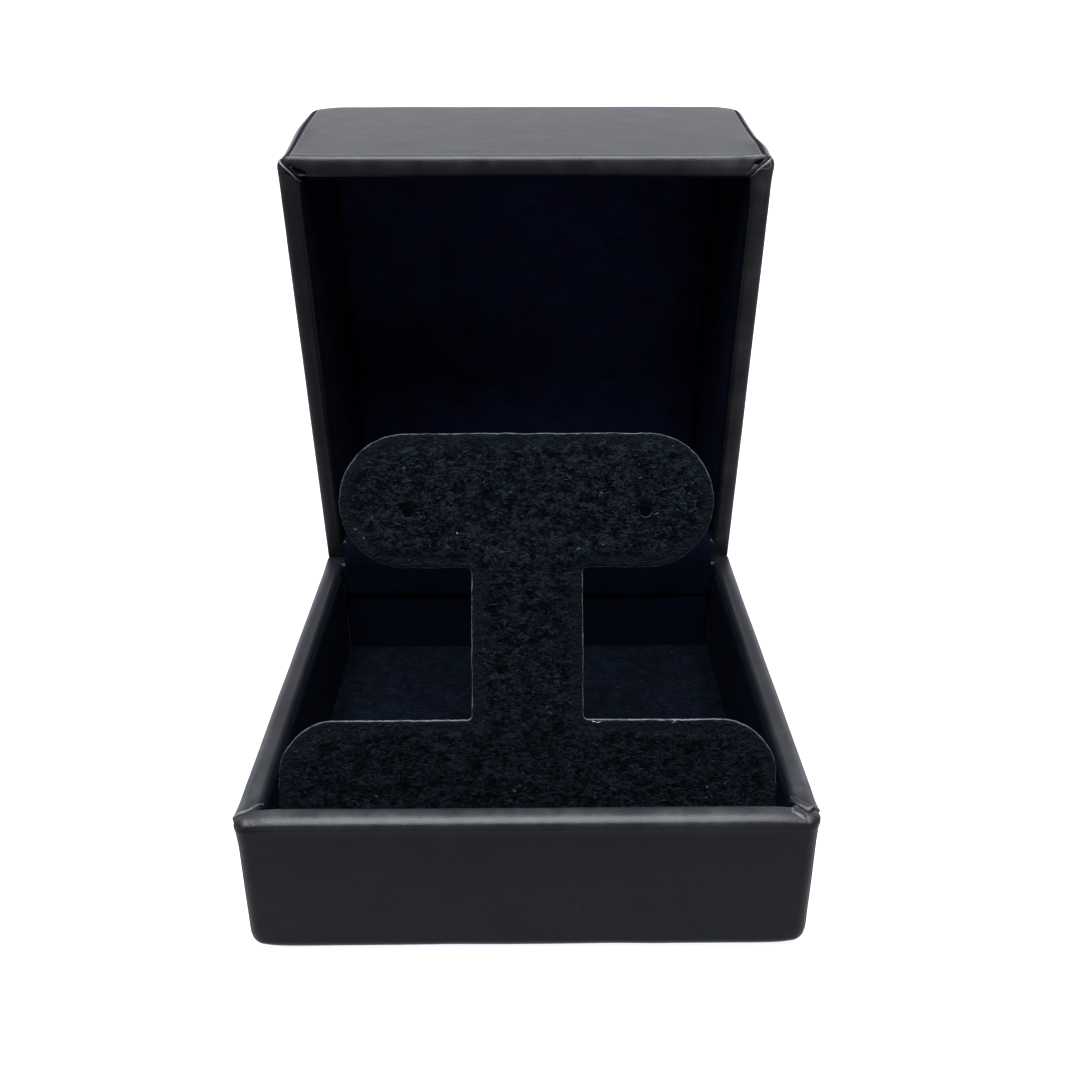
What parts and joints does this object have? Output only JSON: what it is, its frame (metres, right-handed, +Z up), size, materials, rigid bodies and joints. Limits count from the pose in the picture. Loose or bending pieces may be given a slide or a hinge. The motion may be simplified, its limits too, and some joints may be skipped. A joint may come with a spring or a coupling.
{
  "type": "earring box",
  "caption": "Square hinged jewellery box in black leatherette with a velvet lining and a folding velvet card that holds a pair of stud earrings.",
  "frame": {"origin": "centre of the underside of the base, on the surface the box stands on", "axes": "+Z up, front of the box towards -Y, +X to the right seen from the front; the lid is open at rest"},
  "size_m": [0.07, 0.0987, 0.0935],
  "materials": {
    "leatherette": "soft satin, fine grain",
    "bottom_sheet": "matt",
    "velvet": "flocked pile",
    "moulded_carcass": "as moulded",
    "greyboard": "uncoated",
    "card_core": "cut edge",
    "steel": "nickel plated"
  },
  "bodies": {
    "base": {"base_shell": "moulded_carcass", "base_wrap": "leatherette", "base_bottom_sheet": "bottom_sheet", "base_liner_left": "velvet", "base_liner_right": "velvet", "base_liner_front": "velvet", "base_liner_back": "velvet", "floor_spacer": "greyboard", "floor_panel": "velvet", "hinge_leaf_base": "steel", "hinge_rivets_base": "steel", "hinge_pin": "steel", "hinge_springs": "steel", "hinge_cover_strip": "velvet", "card_crease": "velvet"},
    "lid": {"lid_shell": "moulded_carcass", "lid_wrap": "leatherette", "lid_liner_left": "velvet", "lid_liner_right": "velvet", "lid_liner_front": "velvet", "lid_liner_back": "velvet", "lid_pad_board": "greyboard", "lid_pad": "velvet", "hinge_leaf_lid": "steel", "hinge_rivets_lid": "steel"},
    "card": {"card_core": "card_core", "card_velvet_front": "velvet", "card_velvet_back": "velvet"}
  },
  "joints": [
    {"name": "lid_hinge", "type": "hinge", "parent": "base", "child": "lid", "pos_m": [0, 0.03465, 0.02075], "axis": [1, 0, 0], "range_deg": [0, 80.6], "deforming": ["hinge_cover_strip", "hinge_springs"]},
    {"name": "card_fold", "type": "hinge", "parent": "base", "child": "card", "pos_m": [0, -0.03065, 0.005], "axis": [1, 0, 0], "range_deg": [-24.9, 0], "deforming": ["card_crease"]}
  ],
  "couplings": [
    {"joint": "card_fold", "follows": "lid_hinge", "ratio": -0.3089}
  ]
}
